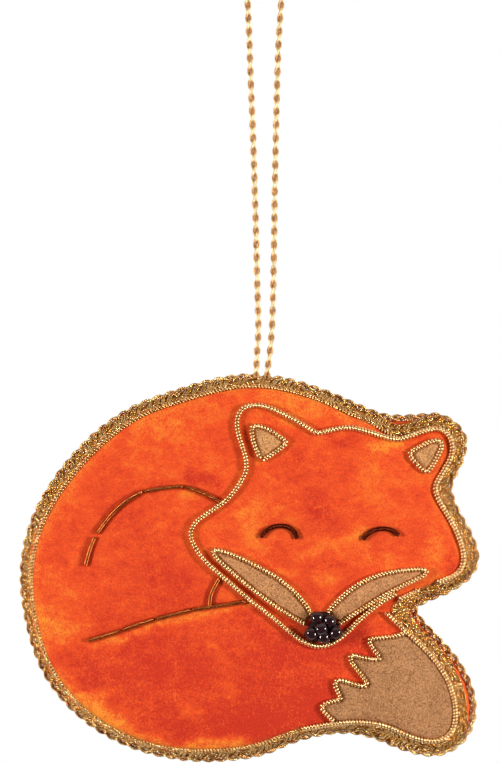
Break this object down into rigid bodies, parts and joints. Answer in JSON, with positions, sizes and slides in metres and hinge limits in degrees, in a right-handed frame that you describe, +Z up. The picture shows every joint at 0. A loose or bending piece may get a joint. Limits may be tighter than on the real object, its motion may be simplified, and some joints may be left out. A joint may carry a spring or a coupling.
{
  "type": "hanging fox ornament",
  "caption": "Stuffed velvet hanging ornament of a fox curled up asleep, outlined in coiled gold wire, with felt patches, beaded nose and a gold cord loop",
  "frame": {"origin": "inside of the hanging loop's top, where a hook or twig bears", "axes": "+X to the right of the fox's face, +Z up, the embroidered front looks along -Y"},
  "size_m": [0.1046, 0.0209, 0.1837],
  "materials": {
    "velvet": "crushed orange velvet",
    "lining": "plain woven cotton",
    "wadding": "soft fibre",
    "felt": "beige felt",
    "gold_wire": "bright coiled gold",
    "copper_purl": "dark polished copper",
    "eye_purl": "dark brown, slightly shiny",
    "gold_braid": "metallic gold thread, plaited",
    "gold_cord": "metallic gold thread, twisted",
    "black_glass": "black, glossy"
  },
  "bodies": {
    "loop": {"hanging_loop": "gold_cord"},
    "fox": {"front_panel": "velvet", "back_panel": "velvet", "embroidery_lining": "lining", "stuffing": "wadding", "left_ear_patch": "felt", "right_ear_patch": "felt", "left_cheek_patch": "felt", "right_cheek_patch": "felt", "tail_patch": "felt", "body_edge_wire": "gold_wire", "head_outline_wire": "gold_wire", "cheek_row_wire": "gold_wire", "tail_outline_wire": "gold_wire", "tail_zigzag_wire": "gold_wire", "left_ear_wire": "gold_wire", "right_ear_wire": "gold_wire", "left_cheek_wire": "gold_wire", "right_cheek_wire": "gold_wire", "haunch_purls": "copper_purl", "leg_purls": "copper_purl", "knee_purl": "copper_purl", "left_eye_purl": "eye_purl", "right_eye_purl": "eye_purl", "edge_braid": "gold_braid", "edge_cord": "gold_cord", "loop_knot": "gold_cord", "nose_beads": "black_glass"}
  },
  "joints": [
    {"name": "loop_swing", "type": "hinge", "parent": "loop", "child": "fox", "pos_m": [-0.00069, 0, -0.093], "axis": [1, 0, 0], "range_deg": [-100, 100]}
  ]
}
